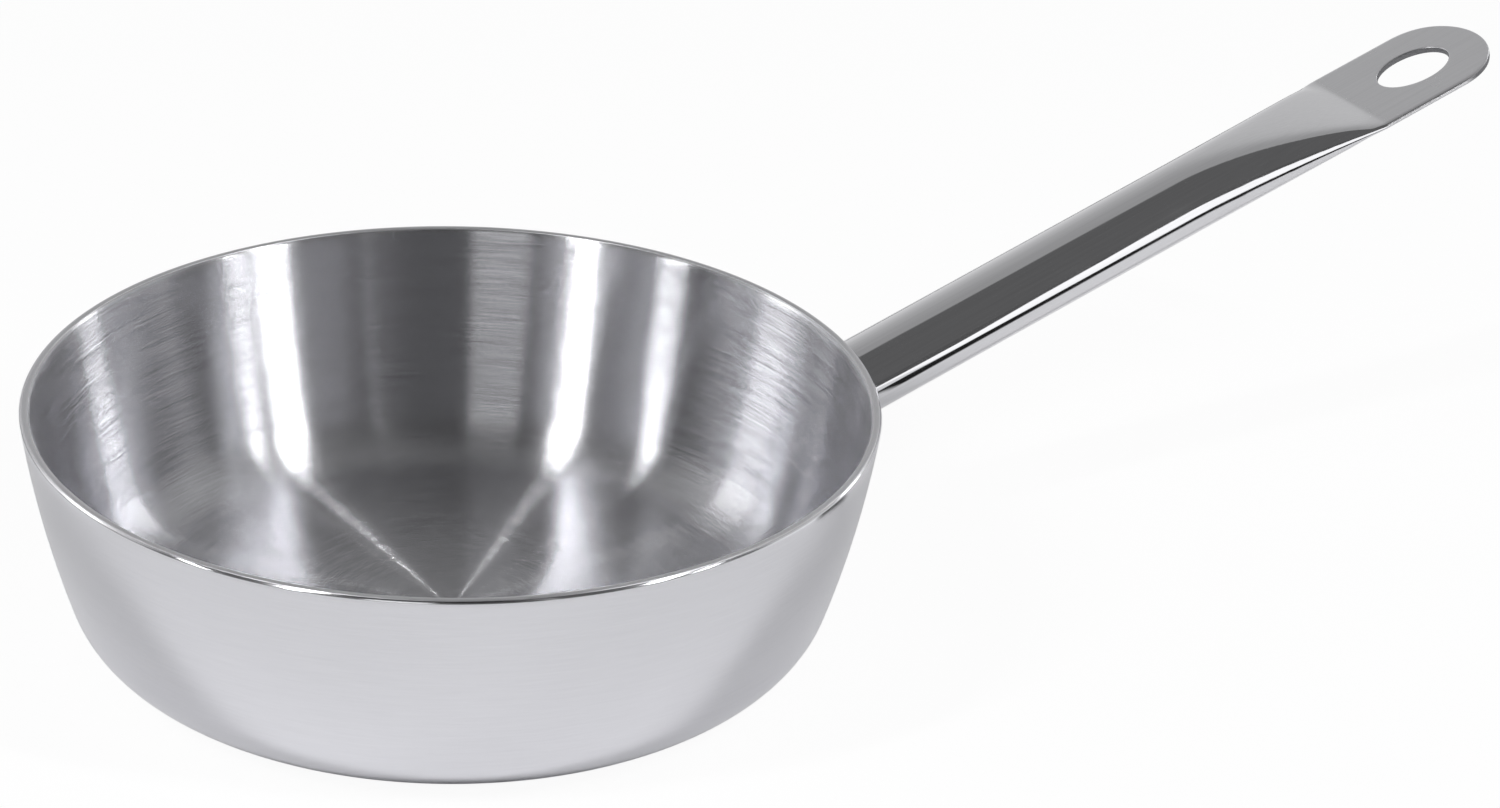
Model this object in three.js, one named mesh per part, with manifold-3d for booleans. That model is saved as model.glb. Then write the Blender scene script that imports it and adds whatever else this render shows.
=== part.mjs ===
// Saute pan: a flared bowl pressed from three bonded sheets, with a tube handle welded to its wall.
// Millimetres, +Z up. The origin is the centre of the flat base, on the plane that the pan stands on.
// The handle lies in the XZ plane and rises along +X. Its free end is pressed flat into a hanging eye.

import * as THREE from "three";
import { ParametricGeometry } from "three/addons/geometries/ParametricGeometry.js";
import { mergeVertices } from "three/addons/utils/BufferGeometryUtils.js";
import Module from "manifold-3d";

const wasm = await Module();
wasm.setup();

// Bowl: the outside of the sheet is measured, and the sheet's layers lie inside it.
const RIM_RADIUS = 102.5;
const BOWL_HEIGHT = 60;
const RIM_LEAN = 7.2; // degrees that the wall leans out from the vertical at the rim
const FOOT_LEAN = 17.6; // and where it runs into the corner, so the wall is a slight barrel
const CORNER_RADIUS = 19.3;
const OUTER_PLY = 0.5;
const CORE_PLY = 1.5;
const INNER_PLY = 0.5;
const RIM_ROUND = 0.4; // rounding of the rim's two edges
const RIM_ROUND_LIMIT = 0.9; // of a layer, which it may take up at most

// Handle: lengths are measured along the tube's axis, outward from the wall.
const ROOT_HEIGHT = 37; // where the tube's axis meets the wall
const HANDLE_RISE = 18.5; // degrees above the horizontal
const HANDLE_LENGTH = 214.5;
const TUBE_DIAMETER = 19.6;
const TUBE_WALL = 1;
const TAPER_LENGTH = 58; // from round tube to flat eye
const EYE_LENGTH = 42;
const EYE_WIDTH = 33.2;
const EYE_THICKNESS = 1.8; // both tube walls, pressed together
const HOLE_LENGTH = 21.3;
const HOLE_WIDTH = 14.6;
const HOLE_TO_TIP = 21.1; // from the hole's centre
const BORE_END_SLIT = 0.6; // height of the tube's hollow where its walls come together

// Weld: a fillet round the tube's root.
const WELD_LEG = 4;
const WELD_HOLLOW = 0.35; // how far the bead's face dips towards its corner, as a share of the way
const SEAT_GAP = 0.3; // left between the bowl, the tube and the bead

// How finely round shapes are divided.
const BOWL_SEGMENTS = 64;
const WALL_STEPS = 4;
const CORNER_STEPS = 6;
const RIM_STEPS = 2;
const TUBE_SIDES = 32;
const TAPER_STEPS = 10;
const TAPER_POWER = 1.8; // the taper starts gently and ends in a crease at the eye
const BEAD_STEPS = 3;
const HOLE_STEPS = 16;
const WALL_HALVINGS = 40; // of a step, to find a point on the wall

const rimLean = THREE.MathUtils.degToRad(RIM_LEAN);
const footLean = THREE.MathUtils.degToRad(FOOT_LEAN);
const rise = THREE.MathUtils.degToRad(HANDLE_RISE);
const tubeRadius = TUBE_DIAMETER / 2;
const sheet = OUTER_PLY + CORE_PLY + INNER_PLY;

// The wall's section is an arc, tangent at its foot to the corner's arc, which is tangent to the base.
const wallDepth = BOWL_HEIGHT - CORNER_RADIUS * (1 - Math.sin(footLean));
const wallArc = wallDepth / (Math.sin(footLean) - Math.sin(rimLean));
const wallCentre = new THREE.Vector2(
  RIM_RADIUS - wallArc * Math.cos(rimLean),
  BOWL_HEIGHT + wallArc * Math.sin(rimLean),
);
const cornerCentre = new THREE.Vector2(
  wallCentre.x + (wallArc - CORNER_RADIUS) * Math.cos(footLean),
  CORNER_RADIUS,
);

// Lean of the wall at a height, on the surface that lies a depth inside the sheet.
function leanAt(height, depth) {
  return Math.asin((wallCentre.y - height) / (wallArc - depth));
}

// Radius of that surface at a height on the wall or on the corner.
function radiusAt(height, depth) {
  const lean = leanAt(height, depth);
  if (lean < footLean) return wallCentre.x + (wallArc - depth) * Math.cos(lean);
  const radius = CORNER_RADIUS - depth;
  const below = Math.min(cornerCentre.y - height, radius);
  return cornerCentre.x + Math.sqrt(radius * radius - below * below);
}

// Section of that surface from the axis along the base, round the corner and up to a height.
function sectionUpTo(height, depth) {
  const points = [new THREE.Vector2(0, depth)];
  for (let i = 0; i <= CORNER_STEPS; i++) {
    const lean = THREE.MathUtils.lerp(Math.PI / 2, footLean, i / CORNER_STEPS);
    const out = new THREE.Vector2(Math.cos(lean), -Math.sin(lean));
    points.push(out.multiplyScalar(CORNER_RADIUS - depth).add(cornerCentre));
  }
  const topLean = leanAt(height, depth);
  for (let i = 1; i <= WALL_STEPS; i++) {
    const lean = THREE.MathUtils.lerp(footLean, topLean, i / WALL_STEPS);
    const out = new THREE.Vector2(Math.cos(lean), -Math.sin(lean));
    points.push(out.multiplyScalar(wallArc - depth).add(wallCentre));
  }
  return points;
}

// The same section up to the rim, with the rim's edge rounded towards the middle of the sheet.
function sectionToRim(depth, round) {
  if (round === 0) return sectionUpTo(BOWL_HEIGHT, depth);
  const inward = depth === 0 ? -1 : 1;
  const points = sectionUpTo(BOWL_HEIGHT - round, depth);
  const edge = new THREE.Vector2(radiusAt(BOWL_HEIGHT, depth), BOWL_HEIGHT);
  const top = edge.clone().add(new THREE.Vector2(inward * round, 0));
  const curve = new THREE.QuadraticBezierCurve(points.at(-1), edge, top);
  return [...points, ...curve.getPoints(RIM_STEPS).slice(1)];
}

// One layer of the sheet, between two depths below its outside.
function ply(name, material, outside, inside) {
  const isOuter = outside === 0;
  const isInner = inside === sheet;
  const round = Math.min(RIM_ROUND, RIM_ROUND_LIMIT * (inside - outside));
  const outer = sectionToRim(outside, isOuter ? round : 0);
  const inner = sectionToRim(inside, isInner ? round : 0);
  const geometry = new THREE.LatheGeometry([...outer, ...inner.reverse()], BOWL_SEGMENTS);
  const mesh = new THREE.Mesh(geometry.rotateX(Math.PI / 2), material);
  mesh.name = name;
  return mesh;
}

// The handle's own frame: X along the tube's axis from the wall, Y to its left, Z square to the eye.
const handleFrame = new THREE.Group();
handleFrame.position.set(radiusAt(ROOT_HEIGHT, 0), 0, ROOT_HEIGHT);
handleFrame.rotation.y = -rise;
handleFrame.updateMatrixWorld();

// The point where a line along the handle, at an angle and a distance round its axis, meets the wall.
function pointOnWall(angle, distance) {
  const across = new THREE.Vector3(0, distance * Math.cos(angle), distance * Math.sin(angle));
  let near = -RIM_RADIUS / 2;
  let far = RIM_RADIUS / 2;
  for (let i = 0; i < WALL_HALVINGS; i++) {
    const along = (near + far) / 2;
    const world = handleFrame.localToWorld(across.clone().setX(along));
    const clear = Math.hypot(world.x, world.y) - radiusAt(world.z, -SEAT_GAP);
    if (clear < 0) near = along;
    else far = along;
  }
  return across.setX(far);
}

// Tube section at a place along the taper, where 0 is round and 1 is flat, moved in by a wall. The press
// leaves two flats between round sides, so the tube's girth hardly changes.
function tubeSection(along, flatness, wall) {
  const halfWidth = THREE.MathUtils.lerp(tubeRadius, EYE_WIDTH / 2, flatness) - wall;
  const halfHeight = THREE.MathUtils.lerp(tubeRadius, EYE_THICKNESS / 2, flatness) - wall;
  const halfFlat = halfWidth - halfHeight;
  const squareness = THREE.MathUtils.lerp(1, 1 / Math.sin(flatAngle), flatness);
  return tubeAngles.map((angle) => {
    const onFlat = THREE.MathUtils.clamp(Math.cos(angle) / Math.cos(flatAngle), -1, 1);
    const across = halfHeight * Math.cos(angle) + halfFlat * onFlat;
    const up = THREE.MathUtils.clamp(squareness * Math.sin(angle), -1, 1);
    return new THREE.Vector3(along, across, halfHeight * up);
  });
}

// A closed surface through rings of points, each ring with as many points as the next.
function loft(rings) {
  const sides = rings[0].length;
  const steps = rings.length - 1;
  const surface = (around, along, target) => {
    const ring = rings[Math.round(along * steps)];
    target.copy(ring[Math.round(around * sides) % sides]);
  };
  return new ParametricGeometry(surface, sides, steps);
}

function solidOf(geometry) {
  const bare = geometry.clone();
  bare.deleteAttribute("normal");
  bare.deleteAttribute("uv");
  const merged = mergeVertices(bare);
  const mesh = new wasm.Mesh({
    numProp: 3,
    vertProperties: merged.attributes.position.array,
    triVerts: new Uint32Array(merged.index.array),
  });
  return new wasm.Manifold(mesh);
}

function geometryOf(solid) {
  const mesh = solid.getMesh();
  const geometry = new THREE.BufferGeometry();
  geometry.setAttribute("position", new THREE.BufferAttribute(mesh.vertProperties, 3));
  geometry.setIndex(new THREE.BufferAttribute(mesh.triVerts, 1));
  geometry.computeVertexNormals();
  return geometry;
}

const tubeAngles = Array.from({ length: TUBE_SIDES }, (_, i) => (2 * Math.PI * i) / TUBE_SIDES);
const flatAngle = Math.PI / 2 - (2 * Math.PI) / TUBE_SIDES; // where the flats meet the round sides
const taperStart = HANDLE_LENGTH - EYE_LENGTH - TAPER_LENGTH;

// Hollow tube, coped to the wall at its root and pressed flat towards its tip, before the eye is cut.
function pressedTube() {
  const boreEnd = (tubeRadius - TUBE_WALL - BORE_END_SLIT / 2) / (tubeRadius - EYE_THICKNESS / 2);
  const lastBoreStep = Math.pow(boreEnd, 1 / TAPER_POWER);
  const taper = (step, wall) =>
    tubeSection(taperStart + step * TAPER_LENGTH, Math.pow(step, TAPER_POWER), wall);
  const steps = Array.from({ length: TAPER_STEPS + 1 }, (_, i) => i / TAPER_STEPS);
  const bore = steps.map((step) => taper(step * lastBoreStep, TUBE_WALL));
  const centreOf = (ring) => ring.map((point) => new THREE.Vector3(point.x, 0, 0));
  const tip = tubeSection(HANDLE_LENGTH, 1, 0);
  return loft([
    centreOf(bore.at(-1)),
    ...bore.reverse(),
    tubeAngles.map((angle) => pointOnWall(angle, tubeRadius - TUBE_WALL)),
    tubeAngles.map((angle) => pointOnWall(angle, tubeRadius)),
    ...steps.map((step) => taper(step, 0)),
    tip,
    centreOf(tip),
  ]);
}

// A cutter through the eye, from an outline in the handle's own frame.
function eyeCutter(shape) {
  const height = TUBE_DIAMETER;
  const settings = { depth: height, bevelEnabled: false, curveSegments: HOLE_STEPS };
  return solidOf(new THREE.ExtrudeGeometry(shape, settings).translate(0, 0, -height / 2));
}

// The two corners outside the half circle that ends the eye.
function tipCorners() {
  const radius = EYE_WIDTH / 2;
  const centre = HANDLE_LENGTH - radius;
  const margin = EYE_THICKNESS;
  const shape = new THREE.Shape();
  shape.moveTo(centre, radius);
  shape.lineTo(centre, radius + margin);
  shape.lineTo(HANDLE_LENGTH + margin, radius + margin);
  shape.lineTo(HANDLE_LENGTH + margin, -radius - margin);
  shape.lineTo(centre, -radius - margin);
  shape.lineTo(centre, -radius);
  shape.absarc(centre, 0, radius, -Math.PI / 2, Math.PI / 2, false);
  return shape;
}

function hangingHole() {
  const centre = HANDLE_LENGTH - HOLE_TO_TIP;
  const shape = new THREE.Shape();
  shape.absellipse(centre, 0, HOLE_LENGTH / 2, HOLE_WIDTH / 2, 0, 2 * Math.PI);
  return shape;
}

function handleTube() {
  const cut = eyeCutter(tipCorners()).add(eyeCutter(hangingHole()));
  const mesh = new THREE.Mesh(geometryOf(solidOf(pressedTube()).subtract(cut)), polishedSteel);
  mesh.name = "handle_tube";
  return mesh;
}

// Fillet bead: its corner lies by the tube and the wall, one leg runs up the wall and one along the tube.
function handleWeld() {
  const rings = [...tubeAngles, 0].map((angle) => {
    const corner = pointOnWall(angle, tubeRadius + SEAT_GAP);
    const wallToe = pointOnWall(angle, tubeRadius + SEAT_GAP + WELD_LEG);
    const tubeToe = corner.clone().setX(corner.x + WELD_LEG);
    const middle = wallToe.clone().lerp(tubeToe, 0.5);
    const dip = middle.lerp(corner, WELD_HOLLOW);
    const face = new THREE.QuadraticBezierCurve3(tubeToe, dip, wallToe);
    return [corner, ...face.getPoints(BEAD_STEPS)];
  });
  const mesh = new THREE.Mesh(loft(rings), weldSteel);
  mesh.name = "handle_weld";
  return mesh;
}

const insideSteel = new THREE.MeshStandardMaterial({ color: 0xb9babd, roughness: 0.32, metalness: 1 });
const coreAluminium = new THREE.MeshStandardMaterial({ color: 0xdcdde0, roughness: 0.4, metalness: 1 });
const outsideSteel = new THREE.MeshStandardMaterial({ color: 0xcfd0d2, roughness: 0.38, metalness: 1 });
const polishedSteel = new THREE.MeshStandardMaterial({ color: 0xc6c7ca, roughness: 0.1, metalness: 1 });
const weldSteel = new THREE.MeshStandardMaterial({ color: 0xaeafb2, roughness: 0.35, metalness: 1 });

handleFrame.add(handleTube(), handleWeld());

const pan = new THREE.Group();
pan.add(
  ply("outer_ply", outsideSteel, 0, OUTER_PLY),
  ply("core_ply", coreAluminium, OUTER_PLY, OUTER_PLY + CORE_PLY),
  ply("inner_ply", insideSteel, OUTER_PLY + CORE_PLY, sheet),
  handleFrame,
);

export default pan;
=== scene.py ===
# %% [markdown]
# # Saute pan
# A lesson in dressing a small welded pan: a flared bowl pressed from three bonded sheets, a tube handle
# pressed flat into a hanging eye, and the weld between them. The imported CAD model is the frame, and it
# fixes every size and place. Each piece is made again here with finer curves and stands for its CAD node.
# Lengths are in metres, +Z is up, the base's centre is the origin and the handle rises along +X.

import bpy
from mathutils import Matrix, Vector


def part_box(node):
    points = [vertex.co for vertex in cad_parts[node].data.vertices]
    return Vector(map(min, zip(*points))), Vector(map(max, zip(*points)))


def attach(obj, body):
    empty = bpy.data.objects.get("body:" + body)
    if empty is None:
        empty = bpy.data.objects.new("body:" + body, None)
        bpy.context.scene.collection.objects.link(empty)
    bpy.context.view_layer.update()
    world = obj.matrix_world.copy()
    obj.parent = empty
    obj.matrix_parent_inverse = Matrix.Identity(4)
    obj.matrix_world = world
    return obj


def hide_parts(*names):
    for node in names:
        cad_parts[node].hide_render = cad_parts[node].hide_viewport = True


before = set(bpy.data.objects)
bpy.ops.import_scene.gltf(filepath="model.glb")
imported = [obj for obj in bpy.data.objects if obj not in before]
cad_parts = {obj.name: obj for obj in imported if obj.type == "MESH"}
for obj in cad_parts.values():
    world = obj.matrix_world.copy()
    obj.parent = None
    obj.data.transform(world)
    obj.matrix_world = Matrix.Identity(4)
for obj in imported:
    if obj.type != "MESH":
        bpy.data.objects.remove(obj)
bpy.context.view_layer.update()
print("frame nodes:", sorted(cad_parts))

# %% [markdown]
# ## Camera
# A product photograph of this kind is taken with a long lens from a little above the rim. The camera comes
# first, because it decides which curves need care. Its place was solved from the two ellipses of the bowl
# and the line of the handle, and it could also be found by eye, by moving it until the rim lies right.
# Heading, pitch and roll are kept as three plain turns, so that each can be changed by itself.

# %% Camera
import math
import bpy
from mathutils import Matrix, Vector

scene = bpy.context.scene
IMAGE_WIDTH = 1500.0  # pixels of the photograph
FOCAL_LENGTH = 4295.3  # of its lens, in the same pixels
SENSOR_WIDTH = 36.0
CAMERA_PLACE = Vector((-0.40960, -0.82942, 0.50711))
CAMERA_HEADING = math.radians(-30.67)
CAMERA_PITCH = math.radians(25.797)
CAMERA_ROLL = math.radians(2.447)

camera_data = bpy.data.cameras.new("camera")
camera_data.sensor_fit = "HORIZONTAL"
camera_data.sensor_width = SENSOR_WIDTH
camera_data.lens = SENSOR_WIDTH * FOCAL_LENGTH / IMAGE_WIDTH
camera = bpy.data.objects.new("camera", camera_data)
heading = Matrix.Rotation(CAMERA_HEADING, 4, "Z")
pitch = Matrix.Rotation(math.pi / 2 - CAMERA_PITCH, 4, "X")
roll = Matrix.Rotation(CAMERA_ROLL, 4, "Z")
camera.matrix_world = Matrix.Translation(CAMERA_PLACE) @ heading @ pitch @ roll
scene.collection.objects.link(camera)
scene.camera = camera
print("lens:", round(camera_data.lens, 2), "mm")

# %% [markdown]
# ## The bowl's section
# The bowl is pressed from one blank of bonded sheet: steel outside, aluminium in the middle to spread the
# heat, and steel inside. Its section is a flat base, a round corner and a wall that is a very flat arc.
# Drawing the section by rule, at any depth inside the sheet, keeps the three layers snug on each other.

# %% Sizes of the sheet
MM = 0.001
RIM_RADIUS = 102.5 * MM
BOWL_HEIGHT = 60 * MM
RIM_LEAN = math.radians(7.2)  # of the wall from the vertical, at the rim
FOOT_LEAN = math.radians(17.6)  # and where it runs into the corner
CORNER_RADIUS = 19.3 * MM
OUTER_PLY = 0.5 * MM
CORE_PLY = 1.5 * MM
INNER_PLY = 0.5 * MM
SHEET = OUTER_PLY + CORE_PLY + INNER_PLY

wall_depth = BOWL_HEIGHT - CORNER_RADIUS * (1 - math.sin(FOOT_LEAN))
wall_arc = wall_depth / (math.sin(FOOT_LEAN) - math.sin(RIM_LEAN))
wall_centre = (
    RIM_RADIUS - wall_arc * math.cos(RIM_LEAN),
    BOWL_HEIGHT + wall_arc * math.sin(RIM_LEAN),
)
corner_centre = (
    wall_centre[0] + (wall_arc - CORNER_RADIUS) * math.cos(FOOT_LEAN),
    CORNER_RADIUS,
)
print("wall arc:", round(wall_arc / MM, 1), "mm, flat base:", round(corner_centre[0] / MM, 1), "mm radius")

# %% Section at a depth inside the sheet
BASE_STEPS = 10
CORNER_STEPS = 20
WALL_STEPS = 24


def lerp(a, b, share):
    return a + (b - a) * share


def on_arc(centre, radius, lean):
    return (centre[0] + radius * math.cos(lean), centre[1] - radius * math.sin(lean))


def lean_at(height, depth):
    return math.asin((wall_centre[1] - height) / (wall_arc - depth))


def radius_at(height, depth):
    """Radius of the surface that lies a depth inside the sheet, at a height on the wall or the corner."""
    lean = lean_at(height, depth)
    if lean < FOOT_LEAN:
        return on_arc(wall_centre, wall_arc - depth, lean)[0]
    radius = CORNER_RADIUS - depth
    below = min(corner_centre[1] - height, radius)
    return corner_centre[0] + math.sqrt(radius**2 - below**2)


def section_up_to(height, depth):
    """Points of that surface from the axis along the base, round the corner and up the wall."""
    points = [(corner_centre[0] * i / BASE_STEPS, depth) for i in range(BASE_STEPS)]
    for i in range(CORNER_STEPS + 1):
        lean = lerp(math.pi / 2, FOOT_LEAN, i / CORNER_STEPS)
        points.append(on_arc(corner_centre, CORNER_RADIUS - depth, lean))
    for i in range(1, WALL_STEPS + 1):
        lean = lerp(FOOT_LEAN, lean_at(height, depth), i / WALL_STEPS)
        points.append(on_arc(wall_centre, wall_arc - depth, lean))
    return points


print("section points:", len(section_up_to(BOWL_HEIGHT, 0)))

# %% [markdown]
# The rim is cut and then ground and polished until it is round, and the softer aluminium between the steels
# wears back a hair, so a fine line shows along each joint. It could be three flat tops with a bevel, but a
# round rim shows a bright line and a dark one side by side, and those draw the rim from every side. So the
# three layers end on one shared arc, and each has a small chamfer of its own at a joint.

# %% Layers with a round rim
RIM_ARC = 1.36 * MM  # radius of the arc over the whole sheet
JOINT_CHAMFER = 0.06 * MM
TOP_STEPS = 8


def rim_height(depth):
    off = depth - SHEET / 2
    return BOWL_HEIGHT - RIM_ARC + math.sqrt(RIM_ARC**2 - off**2)


def layer_section(outside, inside):
    """One layer's section: up its outer surface, over the rim and down its inner surface."""
    outer = section_up_to(rim_height(outside) - JOINT_CHAMFER, outside)
    inner = section_up_to(rim_height(inside) - JOINT_CHAMFER, inside)
    top = []
    for i in range(TOP_STEPS + 1):
        depth = lerp(outside + JOINT_CHAMFER, inside - JOINT_CHAMFER, i / TOP_STEPS)
        top.append((radius_at(rim_height(depth), depth), rim_height(depth)))
    return outer + top + inner[::-1]


print("layer section:", len(layer_section(0, OUTER_PLY)), "points")
print("rim edges lie", round((BOWL_HEIGHT - rim_height(0)) / MM, 2), "mm below the top")

# %% [markdown]
# ## Turning the layers
# A bowl is a turned shape, so one Geometry Nodes tree makes all three layers. It takes a section as a row
# of points, lays out a grid with one column for each step round the axis, and moves each grid point to its
# section point, turned about Z. The Screw modifier could do the same; the tree has the number of segments
# and the material as named inputs and closes the seam and the poles itself.


# %% Node helper
def put(tree, kind, inputs=None, **settings):
    """Adds a node. An input that is given a socket is wired to it, and any other input is set."""
    node = tree.nodes.new(kind)
    for name, value in settings.items():
        setattr(node, name, value)
    for key, value in (inputs or {}).items():
        if isinstance(value, bpy.types.NodeSocket):
            tree.links.new(value, node.inputs[key])
        else:
            node.inputs[key].default_value = value
    return node


def math_of(tree, operation, *values):
    return put(tree, "ShaderNodeMath", dict(enumerate(values)), operation=operation).outputs[0]


# %% Turning tree
WELD_DISTANCE = 0.001 * MM


def turning_tree():
    tree = bpy.data.node_groups.new("turned_layer", "GeometryNodeTree")
    sockets = tree.interface
    sockets.new_socket("Section", in_out="INPUT", socket_type="NodeSocketGeometry")
    sockets.new_socket("Segments", in_out="INPUT", socket_type="NodeSocketInt")
    sockets.new_socket("Finish", in_out="INPUT", socket_type="NodeSocketMaterial")
    sockets.new_socket("Layer", in_out="OUTPUT", socket_type="NodeSocketGeometry")
    given = put(tree, "NodeGroupInput").outputs
    count = put(tree, "GeometryNodeAttributeDomainSize", {0: given["Section"]}).outputs["Point Count"]
    columns = math_of(tree, "ADD", given["Segments"], 1.0)
    grid = put(tree, "GeometryNodeMeshGrid", {"Vertices X": columns, "Vertices Y": count})
    index = put(tree, "GeometryNodeInputIndex").outputs[0]
    row = math_of(tree, "MODULO", index, count)
    column = math_of(tree, "FLOOR", math_of(tree, "DIVIDE", index, count))
    turn = math_of(tree, "DIVIDE", math_of(tree, "MULTIPLY", column, math.tau), given["Segments"])
    place = put(tree, "GeometryNodeInputPosition").outputs[0]
    sample = put(tree, "GeometryNodeSampleIndex", data_type="FLOAT_VECTOR")
    tree.links.new(given["Section"], sample.inputs["Geometry"])
    tree.links.new(place, sample.inputs["Value"])
    tree.links.new(row, sample.inputs["Index"])
    turned = put(
        tree,
        "ShaderNodeVectorRotate",
        {"Vector": sample.outputs[0], "Angle": turn},
        rotation_type="Z_AXIS",
    )
    placed = put(tree, "GeometryNodeSetPosition", {0: grid.outputs["Mesh"], "Position": turned.outputs[0]})
    closed = put(tree, "GeometryNodeMergeByDistance", {0: placed.outputs[0], "Distance": WELD_DISTANCE})
    smooth = put(tree, "GeometryNodeSetShadeSmooth", {0: closed.outputs[0]})
    real = put(tree, "GeometryNodeRealizeInstances", {0: smooth.outputs[0]})
    dressed = put(tree, "GeometryNodeSetMaterial", {0: real.outputs[0], "Material": given["Finish"]})
    put(tree, "NodeGroupOutput", {0: dressed.outputs[0]})
    return tree


turning = turning_tree()
print("turning tree:", len(turning.nodes), "nodes")

# %% Turn the three layers
import bmesh

BOWL_SEGMENTS = 288
SHARP_EDGE = math.radians(38)


def socket_id(tree, name):
    return next(s.identifier for s in tree.interface.items_tree if s.name == name and s.in_out == "INPUT")


def close_and_face_outwards(mesh):
    """Merges doubled points, turns the faces outwards and marks the hard edges."""
    shape = bmesh.new()
    shape.from_mesh(mesh)
    bmesh.ops.remove_doubles(shape, verts=shape.verts, dist=WELD_DISTANCE)
    bmesh.ops.dissolve_degenerate(shape, edges=shape.edges, dist=WELD_DISTANCE)
    bmesh.ops.recalc_face_normals(shape, faces=shape.faces)
    if shape.calc_volume(signed=True) < 0:
        bmesh.ops.reverse_faces(shape, faces=shape.faces)
    open_edges = sum(not edge.is_manifold for edge in shape.edges)
    shape.to_mesh(mesh)
    shape.free()
    mesh.shade_smooth()
    mesh.set_sharp_from_angle(angle=SHARP_EDGE)
    return open_edges


def turn_layer(name, outside, inside, finish):
    points = [(radius, 0, height) for radius, height in layer_section(outside, inside)]
    row = bpy.data.meshes.new(name + "_section")
    row.from_pydata(points, [(i, i + 1) for i in range(len(points) - 1)], [])
    piece = bpy.data.objects.new(name, row)
    scene.collection.objects.link(piece)
    modifier = piece.modifiers.new("turn", "NODES")
    modifier.node_group = turning
    modifier[socket_id(turning, "Segments")] = BOWL_SEGMENTS
    modifier[socket_id(turning, "Finish")] = finish
    evaluated = piece.evaluated_get(bpy.context.evaluated_depsgraph_get())
    mesh = bpy.data.meshes.new_from_object(evaluated)
    piece.modifiers.clear()
    piece.data = mesh
    open_edges = close_and_face_outwards(mesh)
    print(name, len(mesh.polygons), "faces,", open_edges, "open edges")
    return piece


inside_steel = bpy.data.materials.new("inside_steel")
core_aluminium = bpy.data.materials.new("core_aluminium")
outside_steel = bpy.data.materials.new("outside_steel")
outer_sheet = turn_layer("outer_sheet", 0, OUTER_PLY, outside_steel)
core_sheet = turn_layer("core_sheet", OUTER_PLY, OUTER_PLY + CORE_PLY, core_aluminium)
inner_sheet = turn_layer("inner_sheet", OUTER_PLY + CORE_PLY, SHEET, inside_steel)

# %% [markdown]
# ## The handle
# The handle is a steel tube. A press flattens its free end into a plate of two walls, which is then cut to
# a half round and pierced for a hook. It could be a cylinder with a proportional edit, but the flattening
# follows a rule: the tube's height shrinks and its width grows, so that two flats open between round sides,
# and the folded edges form last. So the tube is a loft through rings, each worked out from how flat it is
# there. The handle has its own axes: X along the tube, Y across it, Z square to the eye.

# %% The handle's axes and sizes
ROOT_HEIGHT = 37 * MM
HANDLE_RISE = math.radians(18.5)
HANDLE_LENGTH = 214.5 * MM
TUBE_RADIUS = 9.8 * MM
TUBE_WALL = 1 * MM
TAPER_LENGTH = 58 * MM
EYE_LENGTH = 42 * MM
EYE_HALF_WIDTH = 16.6 * MM
EYE_HALF_THICKNESS = 0.9 * MM
FOLD_WIDTH = 1.2 * MM  # over which the eye's folded sides round off
SEAT_GAP = 0.3 * MM  # between the tube's end and the wall, hidden by the weld

handle_root = Matrix.Translation((radius_at(ROOT_HEIGHT, 0), 0, ROOT_HEIGHT))
handle_axes = handle_root @ Matrix.Rotation(-HANDLE_RISE, 4, "Y")
taper_start = HANDLE_LENGTH - EYE_LENGTH - TAPER_LENGTH
crease = HANDLE_LENGTH - EYE_LENGTH
print("handle root:", [round(v / MM, 2) for v in handle_axes.translation])

# %% [markdown]
# Every ring has the same points, so that rings join face to face: a strip of points down each folded side,
# and a chain of points over the top and under the bottom. On the round tube they lie evenly round the
# circle. On the eye the strips make the rounded edges and the chains lie flat.

# %% A ring of the tube
STRIP_STEPS = 8
CHAIN_POINTS = 24
FLAT_SPREAD = 0.12  # how softly the flats turn into the round sides
FOLD_POWER = 12  # the eye's folded edges form last
EDGE_DROP = 0.86  # share of the half thickness that an edge's round takes

edge_angle = math.acos(1 - FOLD_WIDTH / EYE_HALF_WIDTH)


def edge_profile(width, drop, groove):
    """From the top face over an edge to the bottom face: (distance in from the side, height)."""
    top = []
    for i in range(STRIP_STEPS + 1):
        angle = math.pi / 2 * i / STRIP_STEPS
        top.append((width * (1 - math.sin(angle)), EYE_HALF_THICKNESS - drop * (1 - math.cos(angle))))
    bottom = [(inset, -height) for inset, height in top[::-1]]
    return top + [(groove, 0.0)] + bottom


fold = edge_profile(FOLD_WIDTH, EDGE_DROP * EYE_HALF_THICKNESS, 0.0)
strip_angles = [lerp(edge_angle, -edge_angle, i / (len(fold) - 1)) for i in range(len(fold))]
chain_angles = [
    lerp(edge_angle, math.pi - edge_angle, (i + 1) / (CHAIN_POINTS + 1)) for i in range(CHAIN_POINTS)
]


def flat_ring():
    """The eye's section, in shares of its half width and half height."""
    side = [(1 - inset / EYE_HALF_WIDTH, height / EYE_HALF_THICKNESS) for inset, height in fold]
    flat = 1 - FOLD_WIDTH / EYE_HALF_WIDTH
    chain = [(flat * math.cos(a) / math.cos(edge_angle), 1.0) for a in chain_angles]
    under = [(across, -up) for across, up in chain]
    other_side = [(-across, up) for across, up in side[::-1]]
    return side + under + other_side + chain[::-1]


def round_ring():
    side = [(math.cos(a), math.sin(a)) for a in strip_angles]
    chain = [(math.cos(a), math.sin(a)) for a in chain_angles]
    under = [(across, -up) for across, up in chain]
    other_side = [(-across, up) for across, up in side[::-1]]
    return side + under + other_side + chain[::-1]


round_shape = round_ring()
flat_shape = flat_ring()


def on_flat(cosine):
    """How far along a flat a point lies, from -1 to 1. The ends are reached early, then the side turns."""
    return cosine * math.hypot(1, FLAT_SPREAD) / math.hypot(cosine, FLAT_SPREAD)


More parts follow.
